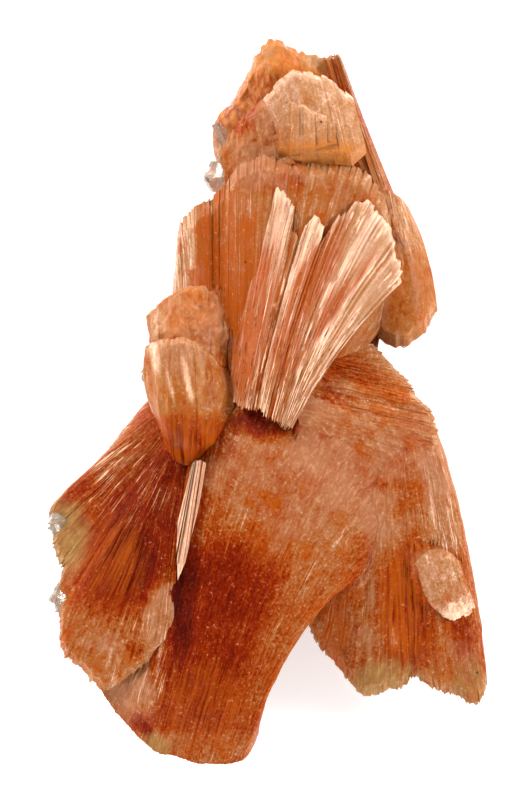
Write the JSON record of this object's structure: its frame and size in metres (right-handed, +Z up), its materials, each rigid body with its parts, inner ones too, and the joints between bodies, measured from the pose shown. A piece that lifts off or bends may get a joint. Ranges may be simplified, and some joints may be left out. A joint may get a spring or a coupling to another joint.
{
  "type": "stilbite specimen",
  "caption": "Translucent orange mineral specimen: fan-shaped sheaves of striated tabular crystals grown together, with frosted ends and clear tips, lying on its back.",
  "frame": {"origin": "middle of the underside, below the centre of the bounding box", "axes": "+X to the right and +Y towards the crest as the specimen is seen from above, +Z up from the surface it lies on"},
  "size_m": [0.0445, 0.073, 0.0221],
  "materials": {
    "stilbite": "translucent orange stone, pearly on the blade faces and frosted on the ends"
  },
  "bodies": {
    "root": {"stilbite_cluster": "stilbite"}
  },
  "joints": []
}
